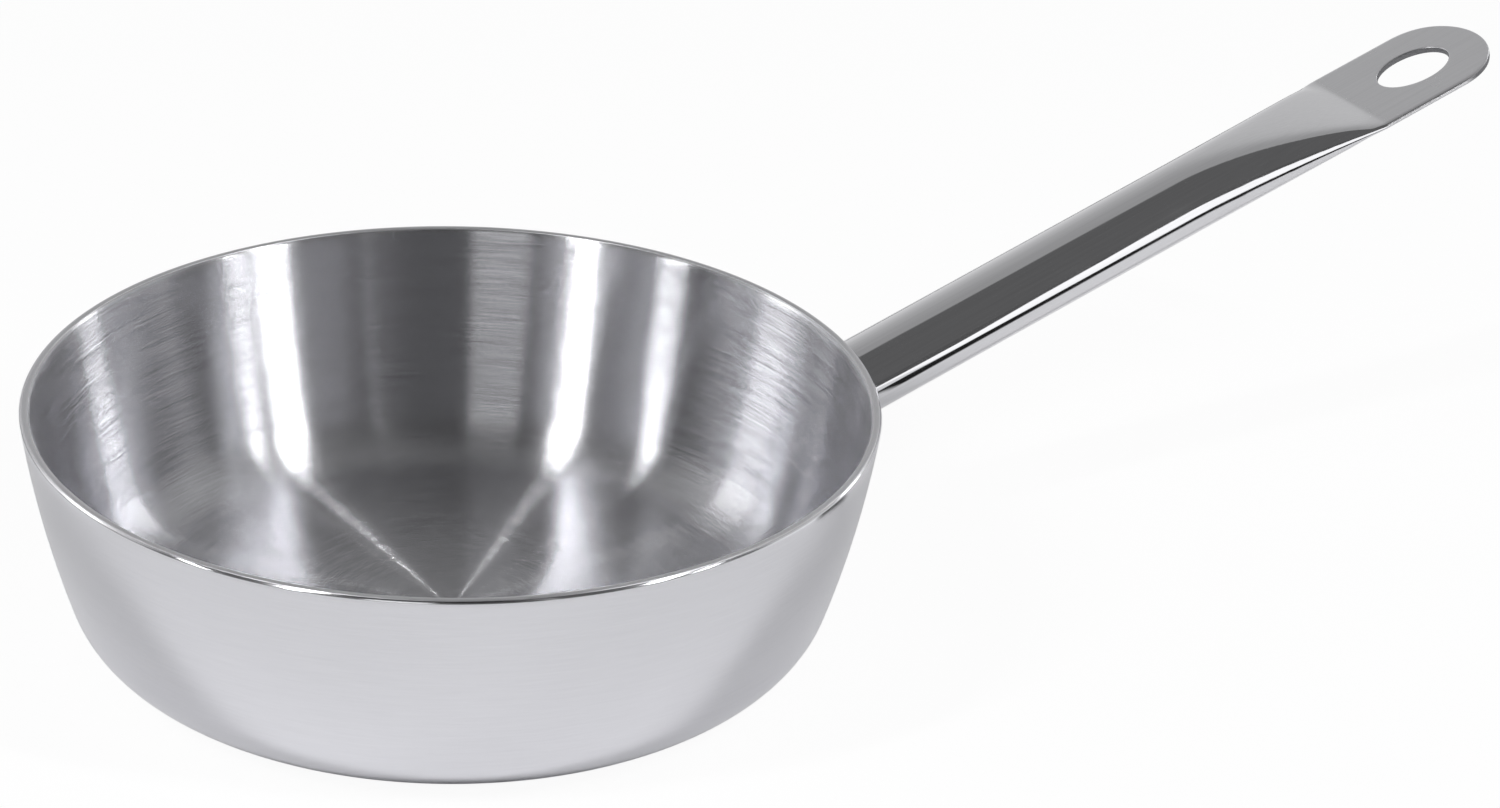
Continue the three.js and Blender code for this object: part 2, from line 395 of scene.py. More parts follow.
def tube_ring(along, flatness, inset=0.0):
    half_width = lerp(TUBE_RADIUS, EYE_HALF_WIDTH, flatness) - inset
    half_height = lerp(TUBE_RADIUS, EYE_HALF_THICKNESS, flatness) - inset
    half_flat = half_width - half_height
    folded = flatness**FOLD_POWER
    ring = []
    for curved, flat in zip(round_shape, flat_shape):
        pressed = half_height * curved[0] + half_flat * on_flat(curved[0])
        across = lerp(pressed, half_width * flat[0], folded)
        up = half_height * lerp(curved[1], flat[1], folded)
        ring.append(Vector((along, across, up)))
    return ring


print("points in a ring:", len(round_shape))

# %% [markdown]
# The press leaves a soft crease where the taper runs into the eye. The taper's flatness is a power of the
# way along it, which ends in a sharp bend, and a small hyperbola rounds that bend off. At the root the tube
# is coped, which means cut to the curve of the wall. Each point there is found by halving a step until it
# lies on the wall.

# %% Rings from the root to the eye
TAPER_POWER = 1.8
TAPER_RINGS = 44
TUBE_RINGS = 10
CREASE_SOFTNESS = 0.03
BORE_END = 0.955  # flatness at which the two walls meet
HALVINGS = 40


def flatness_at(step):
    left = 1 - step**TAPER_POWER
    soft = math.hypot(left, CREASE_SOFTNESS) - CREASE_SOFTNESS
    return 1 - soft / (math.hypot(1, CREASE_SOFTNESS) - CREASE_SOFTNESS)


def on_wall(across, up, gap=SEAT_GAP):
    """Where a line along the handle meets the wall, or a surface a gap outside it."""
    near = -RIM_RADIUS / 2
    far = RIM_RADIUS / 2
    for _ in range(HALVINGS):
        along = (near + far) / 2
        point = handle_axes @ Vector((along, across, up))
        if math.hypot(point.x, point.y) < radius_at(point.z, -gap):
            near = along
        else:
            far = along
    return Vector((far, across, up))


def coped_ring(radius):
    return [on_wall(radius * across, radius * up) for across, up in round_shape]


def taper_rings(last_step, inset):
    rings = []
    for i in range(TAPER_RINGS + 1):
        step = last_step * (1 - (1 - i / TAPER_RINGS) ** 2)
        rings.append(tube_ring(taper_start + step * TAPER_LENGTH, flatness_at(step), inset))
    return rings


straight = [tube_ring(taper_start * i / TUBE_RINGS, 0) for i in range(1, TUBE_RINGS)]
outside_rings = [coped_ring(TUBE_RADIUS)] + straight + taper_rings(1, 0)
bore_flatness = (TUBE_RADIUS - TUBE_WALL) / (TUBE_RADIUS - EYE_HALF_THICKNESS) * BORE_END
bore_taper = taper_rings(bore_flatness ** (1 / TAPER_POWER), TUBE_WALL)
bore_rings = bore_taper[::-1] + [coped_ring(TUBE_RADIUS - TUBE_WALL)]
print("rings outside:", len(outside_rings), "in the bore:", len(bore_rings))

# %% [markdown]
# The eye has a hole, so it can't be a plain loft. Its edge is a row of strips: down each folded side, and
# round the cut tip, where the joint of the two pressed walls leaves a fine groove. Its faces are loops that
# run from that edge in to the hole. The loops close to each edge keep the flat faces flat when shaded.

# %% Outline of the eye
SIDE_STRIPS = 10
TIP_STRIPS = 56
TIP_ROUND = 0.4 * MM
TIP_DROP = 0.4 * MM
CUT_FADE = 0.25  # share of the half round over which a folded edge turns into a cut one
WALL_GROOVE = 0.12 * MM
HOLE_HALF_LENGTH = 10.65 * MM
HOLE_HALF_WIDTH = 7.3 * MM
HOLE_TO_TIP = 21.1 * MM
hole_centre = HANDLE_LENGTH - HOLE_TO_TIP
tip_centre = HANDLE_LENGTH - EYE_HALF_WIDTH


def smooth_step(share):
    share = min(max(share, 0.0), 1.0)
    return share * share * (3 - 2 * share)


def outline():
    """Places along the eye's edge: (along, across, outward direction, share of a cut edge)."""
    places = []
    for i in range(1, SIDE_STRIPS):
        places.append((lerp(crease, tip_centre, i / SIDE_STRIPS), EYE_HALF_WIDTH, (0, 1), 0.0))
    for i in range(TIP_STRIPS + 1):
        angle = math.pi / 2 - math.pi * i / TIP_STRIPS
        out = (math.cos(angle), math.sin(angle))
        cut = smooth_step(min(i, TIP_STRIPS - i) / (CUT_FADE * TIP_STRIPS))
        places.append((tip_centre + EYE_HALF_WIDTH * out[0], EYE_HALF_WIDTH * out[1], out, cut))
    for i in range(SIDE_STRIPS - 1, 0, -1):
        places.append((lerp(crease, tip_centre, i / SIDE_STRIPS), -EYE_HALF_WIDTH, (0, -1), 0.0))
    return places


def edge_strip(along, across, out, cut):
    width = lerp(FOLD_WIDTH, TIP_ROUND, cut)
    drop = lerp(EDGE_DROP * EYE_HALF_THICKNESS, TIP_DROP, cut)
    strip = []
    for inset, height in edge_profile(width, drop, cut * WALL_GROOVE):
        strip.append(Vector((along - inset * out[0], across - inset * out[1], height)))
    return strip


strips = [edge_strip(*place) for place in outline()]
print("edge strips round the eye:", len(strips))


# %% A skin of points and faces
class Skin:
    """Points and faces of one piece, gathered before the mesh is made."""

    def __init__(self):
        self.points = []
        self.faces = []

    def add(self, row):
        start = len(self.points)
        self.points.extend(row)
        return list(range(start, len(self.points)))

    def join(self, one, two, closed=True):
        """Faces between two rows of as many points."""
        steps = len(one) if closed else len(one) - 1
        for i in range(steps):
            after = (i + 1) % len(one)
            self.faces.append((one[i], one[after], two[after], two[i]))

    def fan(self, row, centre):
        middle = self.add([centre])[0]
        for i in range(len(row)):
            self.faces.append((row[i], row[(i + 1) % len(row)], middle))

    def piece(self, name, axes, finish):
        mesh = bpy.data.meshes.new(name)
        mesh.from_pydata([axes @ point for point in self.points], [], self.faces)
        mesh.materials.append(finish)
        open_edges = close_and_face_outwards(mesh)
        made = bpy.data.objects.new(name, mesh)
        scene.collection.objects.link(made)
        print(name, len(mesh.polygons), "faces,", open_edges, "open edges")
        return made


# %% Handle mesh
HOLE_ROUND = 0.35 * MM
FACE_LOOPS = (0.05, 0.35, 0.7, 0.95)  # shares of the way from the eye's edge to the hole


def hole_loop(edge_loop, points, grow, height):
    """Points on the hole's ellipse, one for each point of the loop round the face."""
    loop = []
    for i in edge_loop:
        angle = math.atan2(points[i].y / HOLE_HALF_WIDTH, (points[i].x - hole_centre) / HOLE_HALF_LENGTH)
        along = hole_centre + (HOLE_HALF_LENGTH + grow) * math.cos(angle)
        across = (HOLE_HALF_WIDTH + grow) * math.sin(angle)
        loop.append(Vector((along, across, height)))
    return loop


def handle_skin():
    skin = Skin()
    rows = [skin.add(ring) for ring in bore_rings + outside_rings]
    end = bore_rings[0]
    skin.fan(rows[0], Vector((end[0].x, 0, 0)))
    for one, two in zip(rows, rows[1:]):
        skin.join(one, two)
    last = rows[-1]
    side = len(fold)
    near_strip = last[:side]
    under_chain = last[side : side + CHAIN_POINTS]
    far_strip = last[side + CHAIN_POINTS : 2 * side + CHAIN_POINTS][::-1]
    over_chain = last[2 * side + CHAIN_POINTS :]
    edge = [near_strip] + [skin.add(strip) for strip in strips] + [far_strip]
    for one, two in zip(edge, edge[1:]):
        skin.join(one, two, closed=False)
    top = [strip[0] for strip in edge] + over_chain
    bottom = [strip[-1] for strip in edge] + under_chain[::-1]
    hole_edges = []
    for loop, sign in ((top, 1), (bottom, -1)):
        rim = hole_loop(loop, skin.points, HOLE_ROUND, sign * EYE_HALF_THICKNESS)
        before = loop
        for share in FACE_LOOPS:
            between = [skin.points[i].lerp(goal, share) for i, goal in zip(loop, rim)]
            row = skin.add(between)
            skin.join(before, row)
            before = row
        hole_edges.append((before, loop))
    before = hole_edges[0][0]
    for inset, height in edge_profile(HOLE_ROUND, HOLE_ROUND, -WALL_GROOVE):
        row = skin.add(hole_loop(top, skin.points, inset, height))
        skin.join(before, row)
        before = row
    skin.join(before, hole_edges[1][0])
    return skin


handle_steel = bpy.data.materials.new("handle_steel")
tube_handle = handle_skin().piece("tube_handle", handle_axes, handle_steel)

# %% [markdown]
# ## The weld
# The tube is welded to the wall by hand with one bead all round it. A bead is laid in small overlapping
# puddles, which freeze as a row of crescents. A plain fillet would read as glue, so the bead's face is
# pushed in and out by the crescents, as real shape: a wave along the bead, bent forward in its middle.

# %% Weld bead
WELD_LEG = 4 * MM
WELD_HOLLOW = 0.35  # how far the bead's face dips towards the corner
PUDDLES = 40
STEPS_PER_PUDDLE = 8
BEAD_STEPS = 12
PUDDLE_HEIGHT = 0.22 * MM
PUDDLE_BOW = 0.9  # how far a crescent's middle runs ahead, in puddles


def bead_row(angle):
    across = math.cos(angle)
    up = math.sin(angle)
    seat = TUBE_RADIUS + SEAT_GAP
    corner = on_wall(seat * across, seat * up)
    wall_toe = on_wall((seat + WELD_LEG) * across, (seat + WELD_LEG) * up)
    tube_toe = corner + Vector((WELD_LEG, 0, 0))
    dip = ((wall_toe + tube_toe) / 2).lerp(corner, WELD_HOLLOW)
    row = [corner]
    for i in range(BEAD_STEPS + 1):
        share = i / BEAD_STEPS
        face = tube_toe.lerp(dip, share).lerp(dip.lerp(wall_toe, share), share)
        bulge = 4 * share * (1 - share)
        phase = PUDDLES * angle / math.tau + PUDDLE_BOW * bulge
        wave = abs(math.sin(math.pi * phase))
        row.append(face + (face - corner).normalized() * (PUDDLE_HEIGHT * wave * bulge))
    return row


def weld_skin():
    skin = Skin()
    turns = PUDDLES * STEPS_PER_PUDDLE
    rows = [skin.add(bead_row(math.tau * i / turns)) for i in range(turns)]
    for i in range(turns):
        skin.join(rows[i], rows[(i + 1) % turns])
    return skin


weld_steel = bpy.data.materials.new("weld_steel")
weld_bead = weld_skin().piece("weld_bead", handle_axes, weld_steel)

# %% [markdown]
# ## Shared surface effects
# All the steel here is finished by rubbing, and the rubbing leaves lines: round the axis on the bowl, which
# is polished while it spins, and along the tube on the handle. Each kind of line is a shader node group, a
# stretched noise that several finishes use with their own spacing. A third group gives the slow cloudiness
# of hand polish. The groups put out only values that change over the surface.


# %% Group helper
def shader_group(name, inputs, values=(), normals=()):
    group = bpy.data.node_groups.new(name, "ShaderNodeTree")
    for label, default in inputs:
        socket = group.interface.new_socket(label, in_out="INPUT", socket_type="NodeSocketFloat")
        socket.default_value = default
    for label in values:
        group.interface.new_socket(label, in_out="OUTPUT", socket_type="NodeSocketFloat")
    for label in normals:
        group.interface.new_socket(label, in_out="OUTPUT", socket_type="NodeSocketVector")
    given = put(group, "NodeGroupInput").outputs
    return group, given


def vector_of(tree, operation, *values):
    return put(tree, "ShaderNodeVectorMath", dict(enumerate(values)), operation=operation).outputs[0]


def lean_normal(group, along, lean):
    """Leans the surface across lines that run along a direction."""
    facing = put(group, "ShaderNodeNewGeometry").outputs["Normal"]
    across = vector_of(group, "CROSS_PRODUCT", along, facing)
    step = put(group, "ShaderNodeVectorMath", {0: across, "Scale": lean}, operation="SCALE").outputs[0]
    return vector_of(group, "NORMALIZE", vector_of(group, "ADD", facing, step))


def about_zero(group, value, size):
    return math_of(group, "MULTIPLY", math_of(group, "SUBTRACT", value, 0.5), size)


# %% Lines round the axis
DEEP_POWER = 2.0  # how fast a hair's lean grows with its own depth
LINE_DETAIL = 2.0
NOISE_FALLOFF = 0.6


def turned_lines_group():
    inputs = [("Spacing", 0.3 * MM), ("Turns", 10.0), ("Show", 0.2), ("Hairs", 0.05 * MM)]
    inputs += [("Depth", 2.0), ("Deepest", 0.0)]
    group, given = shader_group("turned_lines", inputs, ["Lines"], ["Normal"])
    place = put(group, "ShaderNodeTexCoord").outputs["Object"]
    parts = put(group, "ShaderNodeSeparateXYZ", {0: place}).outputs
    flat = put(group, "ShaderNodeCombineXYZ", {"X": parts["X"], "Y": parts["Y"]}).outputs[0]
    radius = put(group, "ShaderNodeVectorMath", {0: flat}, operation="LENGTH").outputs["Value"]
    way = put(group, "ShaderNodeSeparateXYZ", {0: vector_of(group, "NORMALIZE", flat)}).outputs
    cosine = math_of(group, "MULTIPLY", way["X"], given["Turns"])
    sine = math_of(group, "MULTIPLY", way["Y"], given["Turns"])

    def rubbed(spacing, detail):
        across = math_of(group, "DIVIDE", radius, spacing)
        height = math_of(group, "DIVIDE", parts["Z"], spacing)
        spot = put(group, "ShaderNodeCombineXYZ", {"X": across, "Y": height, "Z": cosine}).outputs[0]
        settings = {"Vector": spot, "W": sine, "Scale": 1.0, "Detail": detail}
        settings["Roughness"] = NOISE_FALLOFF
        return put(group, "ShaderNodeTexNoise", settings, noise_dimensions="4D").outputs[0]

    lines = rubbed(given["Spacing"], LINE_DETAIL)
    hairs = rubbed(given["Hairs"], 0.0)
    hair = about_zero(group, hairs, 1.0)
    deep = math_of(group, "POWER", math_of(group, "ABSOLUTE", hair), DEEP_POWER)
    steep = math_of(group, "MULTIPLY", deep, given["Deepest"])
    hair = math_of(group, "MULTIPLY", hair, math_of(group, "ADD", given["Depth"], steep))
    lean = math_of(group, "ADD", about_zero(group, lines, given["Show"]), hair)
    backwards = math_of(group, "MULTIPLY", way["Y"], -1.0)
    along = put(group, "ShaderNodeCombineXYZ", {"X": backwards, "Y": way["X"]}).outputs[0]
    put(group, "NodeGroupOutput", {"Lines": lines, "Normal": lean_normal(group, along, lean)})
    return group


turned_lines = turned_lines_group()
print("turned lines:", len(turned_lines.nodes), "nodes")


# %% Lines along the handle
def drawn_lines_group():
    inputs = [("Spacing", 0.3 * MM), ("Run", 25 * MM), ("Depth", 0.05)]
    group, given = shader_group("drawn_lines", inputs, ["Lines", "Along", "Across"], ["Normal"])
    place = put(group, "ShaderNodeTexCoord").outputs["Object"]
    mapping = put(group, "ShaderNodeMapping", {"Vector": place}, vector_type="TEXTURE")
    mapping.inputs["Location"].default_value = handle_axes.translation
    mapping.inputs["Rotation"].default_value = (0, -HANDLE_RISE, 0)
    parts = put(group, "ShaderNodeSeparateXYZ", {0: mapping.outputs[0]}).outputs
    run = math_of(group, "DIVIDE", parts["X"], given["Run"])
    across = math_of(group, "DIVIDE", parts["Y"], given["Spacing"])
    up = math_of(group, "DIVIDE", parts["Z"], given["Spacing"])
    spot = put(group, "ShaderNodeCombineXYZ", {"X": run, "Y": across, "Z": up}).outputs[0]
    settings = {"Vector": spot, "Scale": 1.0, "Detail": 3.0, "Roughness": NOISE_FALLOFF}
    noise = put(group, "ShaderNodeTexNoise", settings).outputs[0]
    along = (math.cos(HANDLE_RISE), 0, math.sin(HANDLE_RISE))
    normal = lean_normal(group, along, about_zero(group, noise, given["Depth"]))
    places = {"Along": parts["X"], "Across": parts["Y"]}
    put(group, "NodeGroupOutput", {"Lines": noise, "Normal": normal, **places})
    return group


drawn_lines = drawn_lines_group()
print("drawn lines:", len(drawn_lines.nodes), "nodes")


# %% Cloudiness of hand polish
def cloud_group():
    group, given = shader_group("polish_clouds", [("Size", 20 * MM)], ["Cloud"])
    place = put(group, "ShaderNodeTexCoord").outputs["Object"]
    scale = math_of(group, "DIVIDE", 1.0, given["Size"])
    settings = {"Vector": place, "Scale": scale, "Detail": 3.0, "Roughness": 0.55}
    noise = put(group, "ShaderNodeTexNoise", settings).outputs[0]
    put(group, "NodeGroupOutput", {"Cloud": noise})
    return group


polish_clouds = cloud_group()
print("polish clouds:", len(polish_clouds.nodes), "nodes")

# %% [markdown]
# ## Finishes
# Each finish is one Principled shader, and its colour, roughness and bump follow the groups. Lines round
# the axis scatter light up and down the wall but hardly sideways. That is anisotropy, and it draws the tall
# bright bands in a brushed bowl. Its amount is the same all over, so it is set on the shader itself. The
# finest lines are hairs too fine to see, which spread a lamp into a streak.


# %% Finish helpers
def open_finish(material):
    material.use_nodes = True
    tree = material.node_tree
    tree.nodes.clear()
    shader = put(tree, "ShaderNodeBsdfPrincipled", {"Metallic": 1.0})
    put(tree, "ShaderNodeOutputMaterial", {"Surface": shader.outputs[0]})
    return tree, shader


def use_group(tree, group, **values):
    node = put(tree, "ShaderNodeGroup", node_tree=group)
    for label, value in values.items():
        node.inputs[label].default_value = value
    return node.outputs


def spread(tree, value, low, high, start=0.3, end=0.7):
    """Maps a value from start..end to low..high."""
    node = put(tree, "ShaderNodeMapRange", {"Value": value, "From Min": start, "From Max": end})
    node.inputs["To Min"].default_value = low
    node.inputs["To Max"].default_value = high
    return node.outputs[0]


def shade_between(tree, share, dark, light):
    ramp = put(tree, "ShaderNodeValToRGB", {"Fac": share})
    ramp.color_ramp.elements[0].color = (*dark, 1)
    ramp.color_ramp.elements[1].color = (*light, 1)
    return ramp.outputs[0]


def dress(tree, shader, tone, rough, normal):
    tree.links.new(tone, shader.inputs["Base Color"])
    tree.links.new(rough, shader.inputs["Roughness"])
    tree.links.new(normal, shader.inputs["Normal"])


# %% Inside steel
BRUSHED_ACROSS = 0.25  # turns the rough way of the anisotropy to run up the wall, across the lines
CLOUD_ROUGHNESS = 0.01  # by which the polish varies to either side


def brush_round(tree, shader, amount):
    tangent = put(tree, "ShaderNodeTangent", direction_type="RADIAL", axis="Z")
    tree.links.new(tangent.outputs[0], shader.inputs["Tangent"])
    shader.inputs["Anisotropic"].default_value = amount
    shader.inputs["Anisotropic Rotation"].default_value = BRUSHED_ACROSS


def clouded(tree, rough, size):
    cloud = use_group(tree, polish_clouds, Size=size)["Cloud"]
    return math_of(tree, "ADD", rough, spread(tree, cloud, -CLOUD_ROUGHNESS, CLOUD_ROUGHNESS))


def finish_inside():
    tree, shader = open_finish(inside_steel)
    brush_round(tree, shader, 1.0)
    rubbing = {"Spacing": 0.3 * MM, "Turns": 6.0, "Show": 0.4, "Hairs": 0.008 * MM, "Depth": 1.7}
    lines = use_group(tree, turned_lines, **rubbing, Deepest=28.0)
    share = spread(tree, lines["Lines"], 0.0, 1.0)
    tone = shade_between(tree, share, (0.54, 0.54, 0.56), (0.62, 0.62, 0.645))
    rough = clouded(tree, spread(tree, lines["Lines"], 0.20, 0.22), 30 * MM)
    dress(tree, shader, tone, rough, lines["Normal"])


finish_inside()
print("inside steel:", len(inside_steel.node_tree.nodes), "nodes")


# %% Outside steel
def finish_outside():
    tree, shader = open_finish(outside_steel)
    brush_round(tree, shader, 0.8)
    rubbing = {"Spacing": 0.3 * MM, "Turns": 8.0, "Show": 0.05, "Hairs": 0.01 * MM, "Depth": 0.4}
    lines = use_group(tree, turned_lines, **rubbing)
    tone = shade_between(tree, lines["Lines"], (0.62, 0.62, 0.645), (0.72, 0.72, 0.745))
    rough = clouded(tree, spread(tree, lines["Lines"], 0.14, 0.17), 40 * MM)
    dress(tree, shader, tone, rough, lines["Normal"])


finish_outside()
print("outside steel:", len(outside_steel.node_tree.nodes), "nodes")


# %% Aluminium at the rim
def finish_core():
    tree, shader = open_finish(core_aluminium)
    rubbing = {"Spacing": 0.2 * MM, "Turns": 30.0, "Show": 0.3, "Hairs": 0.04 * MM, "Depth": 0.3}
    lines = use_group(tree, turned_lines, **rubbing)
    tone = shade_between(tree, lines["Lines"], (0.46, 0.46, 0.48), (0.60, 0.60, 0.62))
    dress(tree, shader, tone, spread(tree, lines["Lines"], 0.34, 0.44), lines["Normal"])


finish_core()
print("core aluminium:", len(core_aluminium.node_tree.nodes), "nodes")


# %% Cut edges of the handle
CUT_FACING = (0.5, 0.8)  # shares of facing up or down over which a cut face fades out


def cut_edge(tree, along, across):
    """1 on the cut edge of the tip and on the hole's wall, which the press leaves raw and dark."""
    facing = put(tree, "ShaderNodeNewGeometry").outputs["Normal"]
    flat = put(tree, "ShaderNodeVectorMath", {0: facing}, operation="DOT_PRODUCT")
    flat.inputs[1].default_value = (-math.sin(HANDLE_RISE), 0, math.cos(HANDLE_RISE))
    upright = spread(tree, math_of(tree, "ABSOLUTE", flat.outputs["Value"]), 1.0, 0.0, *CUT_FACING)
    aside = math_of(tree, "ABSOLUTE", across)
    in_hole = spread(tree, aside, 1.0, 0.0, HOLE_HALF_WIDTH + 1 * MM, HOLE_HALF_WIDTH + 2 * MM)
    at_tip = spread(tree, along, 0.0, 1.0, tip_centre, tip_centre + 4 * MM)
    beyond_crease = spread(tree, along, 0.0, 1.0, crease, crease + 2 * MM)
    cut = math_of(tree, "MULTIPLY", math_of(tree, "MAXIMUM", in_hole, at_tip), beyond_crease)
    return math_of(tree, "MULTIPLY", cut, upright)


# %% Polished handle with a satin eye
SATIN_START = crease - 1 * MM
SATIN_FULL = crease + 0.5 * MM
SATIN_LOSS = 0.15  # shares of the tone that the satin and the raw cut lose
CUT_LOSS = 0.75
DULL_ROUGHNESS = 0.22


def finish_handle():
    tree, shader = open_finish(handle_steel)
    drawn = use_group(tree, drawn_lines, Spacing=0.5 * MM, Run=40 * MM, Depth=0.05)
    cloud = use_group(tree, polish_clouds, Size=12 * MM)["Cloud"]
    satin = spread(tree, drawn["Along"], 0.0, 1.0, SATIN_START, SATIN_FULL)
    cut = cut_edge(tree, drawn["Along"], drawn["Across"])
    satin_loss = math_of(tree, "MULTIPLY", satin, SATIN_LOSS)
    loss = math_of(tree, "ADD", satin_loss, math_of(tree, "MULTIPLY", cut, CUT_LOSS))
    share = math_of(tree, "SUBTRACT", spread(tree, drawn["Lines"], 0.87, 0.97), loss)
    tone = shade_between(tree, share, (0.22, 0.22, 0.23), (0.78, 0.78, 0.80))
    polish = spread(tree, cloud, 0.05, 0.10)
    dull = math_of(tree, "MULTIPLY", math_of(tree, "ADD", satin, cut), DULL_ROUGHNESS)
    dress(tree, shader, tone, math_of(tree, "ADD", polish, dull), drawn["Normal"])


finish_handle()
print("handle steel:", len(handle_steel.node_tree.nodes), "nodes")


# %% Weld
def finish_weld():
    tree, shader = open_finish(weld_steel)
    cloud = use_group(tree, polish_clouds, Size=3 * MM)["Cloud"]
    tone = shade_between(tree, cloud, (0.46, 0.45, 0.44), (0.62, 0.62, 0.63))
    bump = put(tree, "ShaderNodeBump", {"Height": cloud, "Distance": 0.05 * MM, "Strength": 0.4})
    dress(tree, shader, tone, spread(tree, cloud, 0.25, 0.40), bump.outputs[0])


finish_weld()
print("weld steel:", len(weld_steel.node_tree.nodes), "nodes")

# %% [markdown]
# ## Hand the pieces to the frame
# Every piece rides on the pan's one body and stands for its CAD node, which is hidden. How far it stands
# proud of that node's box is printed.

# %% Ride and replace
for piece, node, slot in (
    (outer_sheet, "outer_ply", "outside_steel"),
    (core_sheet, "core_ply", "core_aluminium"),
    (inner_sheet, "inner_ply", "inside_steel"),
    (tube_handle, "handle_tube", "handle_steel"),
    (weld_bead, "handle_weld", "weld_steel"),
):
    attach(piece, "root")
    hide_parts(node)
    low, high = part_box(node)
    proud = 0.0
    for vertex in piece.data.vertices:
        for value, least, most in zip(vertex.co, low, high):
            proud = max(proud, least - value, value - most)
    print(piece.name, "for", node, "stands proud by", round(proud / MM, 2), "mm")

# %% [markdown]
# ## Stage
# The pan stands on white paper against white. Metal has no look of its own, it shows what is round it, so
# the studio matters as much as the finish. The paper gives the bright outside, and its front edge shows
# there as a line. A black card and a painted pool of light on the paper beside the handle, a glow in place
# of lamplight, give the stripes along the tube. Cards on stands could do that, but a pattern in the floor's
# material that only reflections see stays out of the picture.

# %% Floor
FLOOR_RADIUS = 6.0
FLOOR_SIDES = 96
FLOOR_GAP = 0.1 * MM


def floor_point(step):
    turn = math.tau * step / FLOOR_SIDES
    return (FLOOR_RADIUS * math.cos(turn), FLOOR_RADIUS * math.sin(turn), -FLOOR_GAP)


floor_mesh = bpy.data.meshes.new("floor")
floor_mesh.from_pydata([floor_point(i) for i in range(FLOOR_SIDES)], [], [tuple(range(FLOOR_SIDES))])
floor = bpy.data.objects.new("floor", floor_mesh)
scene.collection.objects.link(floor)
print("floor:", FLOOR_RADIUS, "m radius")

# %% Stage helpers
WHITE = (1, 1, 1, 1)


def open_stage(name):
    material = bpy.data.materials.new(name)
    material.use_nodes = True
    material.node_tree.nodes.clear()
    material.cycles.emission_sampling = "NONE"
    return material, material.node_tree


def shining(tree, strength):
    return put(tree, "ShaderNodeEmission", {"Color": WHITE, "Strength": strength}).outputs[0]


def mix_of(tree, share, one, two):
    return put(tree, "ShaderNodeMixShader", {0: share, 1: one, 2: two}).outputs[0]


# %% White paper
PAPER_COLOUR = (0.94, 0.94, 0.95, 1)
PAPER_SHOWN = 0.94  # share of plain white in what the camera sees of it
CONTACT = (76 * MM, 78 * MM)  # the paper is dark inside the first radius, right under the base's corner
PAPER_WAY = math.radians(61)  # the way the paper runs on behind the handle, from the picture's right
PAPER_EDGE = 102 * MM  # its front edge from the pan's axis
PAPER_REACH = 330 * MM  # round the pan the paper is whole
PAPER_SOFT = 4 * MM
TABLE_LIGHT = 0.1

floor_white, tree = open_stage("floor_white")
light_path = put(tree, "ShaderNodeLightPath").outputs
mirrored = light_path["Is Glossy Ray"]
place = put(tree, "ShaderNodeTexCoord").outputs["Object"]
reach = put(tree, "ShaderNodeVectorMath", {0: place}, operation="LENGTH").outputs["Value"]
clear = spread(tree, reach, 0.0, PAPER_SHOWN, *CONTACT)
shown = math_of(tree, "MULTIPLY", light_path["Is Camera Ray"], clear)
paper = put(tree, "ShaderNodeBsdfDiffuse", {"Color": PAPER_COLOUR}).outputs[0]
paper = mix_of(tree, shown, paper, shining(tree, 1.0))

paper_way = CAMERA_HEADING + PAPER_WAY
ahead = put(tree, "ShaderNodeVectorMath", {0: place}, operation="DOT_PRODUCT")
ahead.inputs[1].default_value = (math.cos(paper_way), math.sin(paper_way), 0)
ahead = ahead.outputs["Value"]
before = spread(tree, ahead, 1.0, 0.0, PAPER_EDGE - PAPER_SOFT, PAPER_EDGE + PAPER_SOFT)
around = spread(tree, reach, 0.0, 1.0, PAPER_REACH - PAPER_SOFT, PAPER_REACH + PAPER_SOFT)
beyond = math_of(tree, "MULTIPLY", before, around)
print("paper's edge:", round(PAPER_EDGE / MM), "mm from the axis")

# %% Black card and painted pool of light
CARD_ALONG = (158 * MM, 450 * MM)  # a black card beside the handle
CARD_ACROSS = (-54 * MM, -11 * MM)  # where its long edges would cross the axis
CARD_SLANT = 0.26  # it runs this much away from the handle's line
CARD_COLOUR = (0.02, 0.02, 0.02, 1)
PAINTED_LIGHT_ALONG = (190 * MM, 900 * MM)  # the paper beyond the card, where a painted pool of light glows for the metal to mirror
PAINTED_LIGHT_ACROSS = (-600 * MM, -56 * MM)
# strength of the painted light: a glow on the paper, seen only in the metal, in place of lamplight
PAINTED_LIGHT_GLOW = 1.3


def between(value, start, end):
    """1 between two lengths and 0 outside them, with soft edges."""
    opens = spread(tree, value, 0.0, 1.0, start - PAPER_SOFT, start + PAPER_SOFT)
    closes = spread(tree, value, 1.0, 0.0, end - PAPER_SOFT, end + PAPER_SOFT)
    return math_of(tree, "MULTIPLY", opens, closes)


def seen_in_metal(area, under, over):
    return mix_of(tree, math_of(tree, "MULTIPLY", area, mirrored), under, over)


spot = put(tree, "ShaderNodeSeparateXYZ", {0: place}).outputs
slanted = math_of(tree, "ADD", spot["Y"], math_of(tree, "MULTIPLY", spot["X"], CARD_SLANT))
card_here = math_of(tree, "MULTIPLY", between(spot["X"], *CARD_ALONG), between(slanted, *CARD_ACROSS))
# painted light: beyond the card the paper glows brighter in the metal than its lamps light it
painted_light_here = math_of(tree, "MULTIPLY", between(spot["X"], *PAINTED_LIGHT_ALONG), between(slanted, *PAINTED_LIGHT_ACROSS))
black = put(tree, "ShaderNodeBsdfDiffuse", {"Color": CARD_COLOUR}).outputs[0]
whole = seen_in_metal(painted_light_here, paper, shining(tree, PAINTED_LIGHT_GLOW))
whole = seen_in_metal(beyond, whole, shining(tree, TABLE_LIGHT))
whole = seen_in_metal(card_here, whole, black)
put(tree, "ShaderNodeOutputMaterial", {"Surface": whole})
floor_mesh.materials.append(floor_white)
print("floor material:", len(tree.nodes), "nodes")

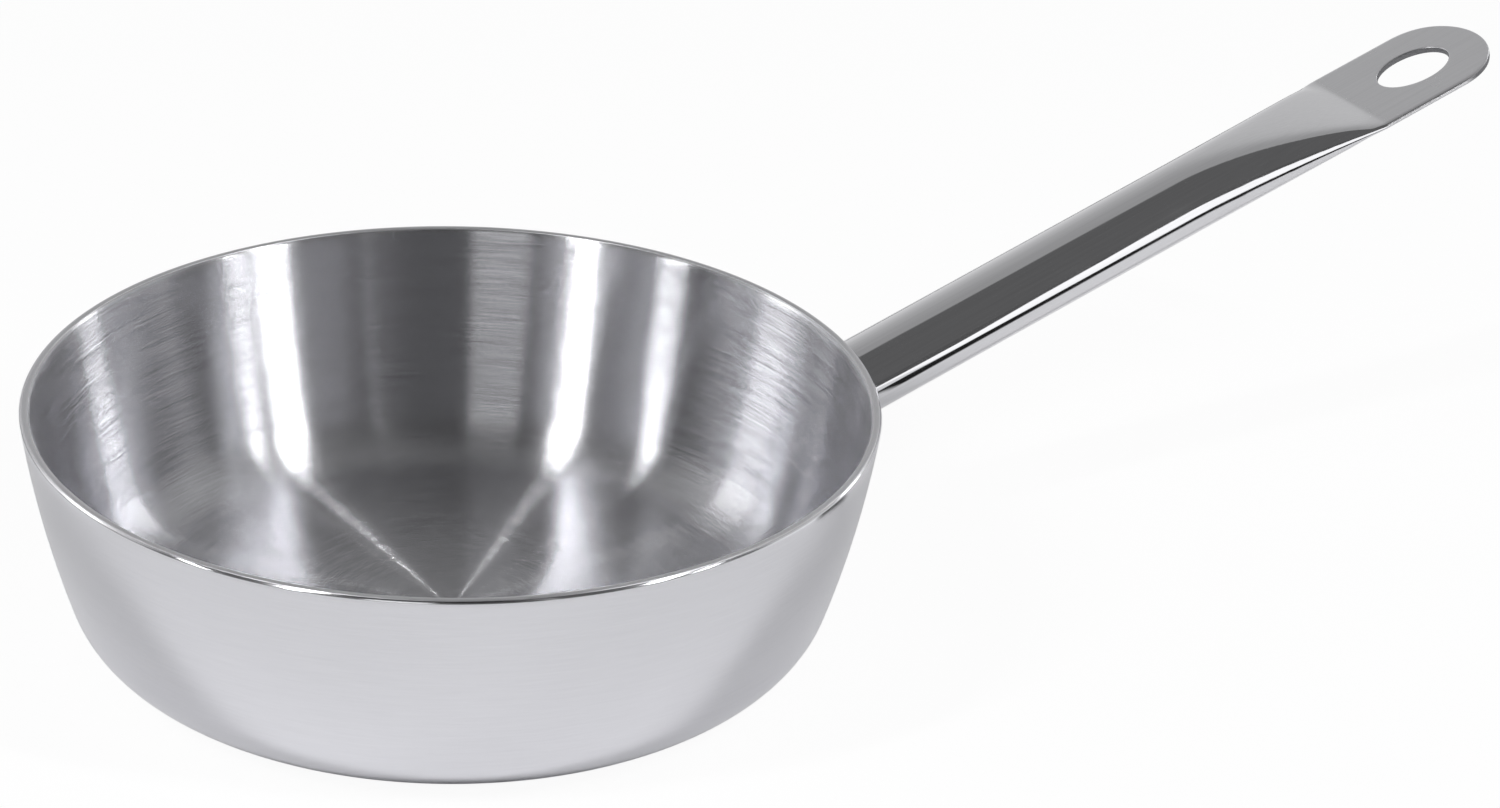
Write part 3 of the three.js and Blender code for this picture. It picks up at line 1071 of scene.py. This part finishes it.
# %% [markdown]
# ## Room
# A studio is dark but for its lamps, with pale things standing about, and a bowl mirrors all of it. The
# room is one big sphere that only reflections see: a dim level, a paler wall behind the pan, pale cards and
# a darker ceiling. It could be many planes, but in a bowl only the azimuth and a rough height of a card can
# be told, so a formula on the sphere is enough.

# %% Room
ROOM_RADIUS = 3.0
ROOM_SIDES = 64

room_mesh = bpy.data.meshes.new("room")
shape = bmesh.new()
bmesh.ops.create_uvsphere(shape, u_segments=ROOM_SIDES, v_segments=ROOM_SIDES // 2, radius=ROOM_RADIUS)
bmesh.ops.reverse_faces(shape, faces=shape.faces)
shape.to_mesh(room_mesh)
shape.free()
room = bpy.data.objects.new("room", room_mesh)
scene.collection.objects.link(room)
room.visible_camera = False
room.visible_diffuse = False
room.visible_transmission = False
room.visible_shadow = False
print("room:", len(room_mesh.polygons), "faces")

# %% What the room shows
ROOM_LIGHT = 0.125
WALL_LIGHT = (0.7, 0.24)  # of the wall behind the pan, at its foot and overhead
WALL_EDGE = 0.02 * ROOM_RADIUS  # half the soft edge of that wall
CARD_TOP = (0.55 * ROOM_RADIUS, 0.65 * ROOM_RADIUS)  # heights over which a low card ends
LEFT_CARD = (-32, 14, 4, 0.5)  # from and to an azimuth, softness of the edges, all in degrees, and light
BACK_CARD = (73, 89.5, 0.5, 1.25)
TALL_CARD = (118.5, 120.5, 0.3, 0.6)
DARK_CEILING = (40, 122, 2, 0.09)  # this one takes light away

dim, tree = open_stage("room_dim")
place = put(tree, "ShaderNodeTexCoord").outputs["Object"]
turned = {"Vector": place, "Angle": -CAMERA_HEADING}
spun = put(tree, "ShaderNodeVectorRotate", turned, rotation_type="Z_AXIS").outputs[0]
parts = put(tree, "ShaderNodeSeparateXYZ", {0: spun}).outputs
leftwards = math_of(tree, "MULTIPLY", parts["X"], -1.0)
forwards = math_of(tree, "MULTIPLY", parts["Y"], -1.0)
from_left = math_of(tree, "ARCTAN2", forwards, leftwards)


def card(start, end, soft, light):
    """A pale card in the room between two azimuths, counted from the picture's left."""
    start = math.radians(start)
    end = math.radians(end)
    soft = math.radians(soft)
    opens = spread(tree, from_left, 0.0, light, start - soft, start + soft)
    closes = spread(tree, from_left, 1.0, 0.0, end - soft, end + soft)
    return math_of(tree, "MULTIPLY", opens, closes)


wall = spread(tree, parts["Z"], *WALL_LIGHT, 0.0, ROOM_RADIUS)
behind = spread(tree, parts["Y"], 0.0, 1.0, -WALL_EDGE, WALL_EDGE)
low = spread(tree, parts["Z"], 1.0, 0.0, *CARD_TOP)
high = math_of(tree, "SUBTRACT", 1.0, low)
level = math_of(tree, "ADD", math_of(tree, "MULTIPLY", wall, behind), ROOM_LIGHT)
level = math_of(tree, "ADD", level, math_of(tree, "MULTIPLY", low, card(*LEFT_CARD)))
level = math_of(tree, "ADD", level, math_of(tree, "MULTIPLY", low, card(*BACK_CARD)))
level = math_of(tree, "ADD", level, card(*TALL_CARD))
level = math_of(tree, "SUBTRACT", level, math_of(tree, "MULTIPLY", high, card(*DARK_CEILING)))
put(tree, "ShaderNodeOutputMaterial", {"Surface": shining(tree, level)})
room_mesh.materials.append(dim)
print("room material:", len(tree.nodes), "nodes")

# %% World
AMBIENT = 0.1

world = bpy.data.worlds.new("world")
scene.world = world
world.use_nodes = True
tree = world.node_tree
tree.nodes.clear()
light_path = put(tree, "ShaderNodeLightPath").outputs
seen = math_of(tree, "MAXIMUM", light_path["Is Camera Ray"], light_path["Is Glossy Ray"])
seen = math_of(tree, "MAXIMUM", seen, light_path["Is Transmission Ray"])
level = spread(tree, seen, AMBIENT, 1.0, 0.0, 1.0)
sky = put(tree, "ShaderNodeBackground", {"Color": WHITE, "Strength": level})
put(tree, "ShaderNodeOutputWorld", {"Surface": sky.outputs[0]})
print("world light:", AMBIENT, "where it isn't seen")

# %% [markdown]
# ## Lamps
# A brushed bowl turns every lamp into a streak up its wall, so the lamps were found from the streaks: tall
# strip softboxes at either side, each leaning as its streak leans. Round lamps would give broad fans. Where
# a flag on a stand would keep a lamp off something, the lamp is limited to a set of pieces: the main lamps
# to the pan, and two narrow ones to the floor, where they throw the shadow edges that the outside mirrors.

# %% Lamps
LAMP_DISTANCE = 1.5
AIM = Vector((0, 0, 0.03))


def towards(azimuth, elevation):
    """A direction from the pan. Azimuths run from the picture's right, anticlockwise from above."""
    turn = CAMERA_HEADING + math.radians(azimuth)
    rise = math.radians(elevation)
    return Vector((math.cos(turn) * math.cos(rise), math.sin(turn) * math.cos(rise), math.sin(rise)))


def strip_lamp(name, low, high, width, radiance):
    """A strip softbox between two directions, each an azimuth and an elevation."""
    foot = AIM + LAMP_DISTANCE * towards(*low)
    head = AIM + LAMP_DISTANCE * towards(*high)
    centre = (foot + head) / 2
    upright = (head - foot).normalized()
    side = upright.cross(centre - AIM).normalized()
    data = bpy.data.lights.new(name, "AREA")
    data.shape = "RECTANGLE"
    data.size = width
    data.size_y = (head - foot).length
    data.energy = radiance * math.pi * data.size * data.size_y
    lamp = bpy.data.objects.new(name, data)
    axes = Matrix((side, upright, side.cross(upright))).transposed().to_4x4()
    lamp.matrix_world = Matrix.Translation(centre) @ axes
    scene.collection.objects.link(lamp)
    return lamp


def lit_set(name, pieces):
    """A collection that a lamp can be limited to, as a flag on a stand would limit it."""
    pieces_lit = bpy.data.collections.new(name)
    for piece in pieces:
        pieces_lit.objects.link(piece)
    return pieces_lit


# %% Set up the lamps
bowl = (outer_sheet, core_sheet, inner_sheet)
bowl_only = lit_set("bowl_only", bowl)
pan_only = lit_set("pan_only", (*bowl, tube_handle, weld_bead))
floor_only = lit_set("floor_only", (floor,))
for *row, lit in (  # name, foot and head as azimuth and elevation, width, radiance, what it lights
    ("right_main", (-36, 18), (-9, 54), 0.085, 28, bowl_only),
    ("left_main", (-125, 20), (-133, 58), 0.10, 28, pan_only),
    ("right_side", (-24.7, 10), (-10, 38), 0.075, 9, None),
    ("left_side", (-146, 10), (-161, 35), 0.065, 16, None),
    ("right_back", (31.5, 12), (46.5, 30), 0.20, 5, None),
    ("left_back", (174, 12), (157, 34), 0.30, 2.5, None),
    ("right_floor", (-27, 35), (-27, 55), 0.06, 97, floor_only),
    ("left_floor", (-140, 35), (-140, 55), 0.06, 97, floor_only),
):
    lamp = strip_lamp(*row)
    lamp.light_linking.receiver_collection = lit
    print(lamp.name, round(lamp.data.energy, 1), "W")

# %% [markdown]
# ## View
# The dressed pan is meant to fill the CAD model's box and no more; how far each piece stands proud of its
# node's box is printed where the pieces are handed to the frame. The render uses the standard view
# transform.

scene.view_settings.view_transform = "Standard"
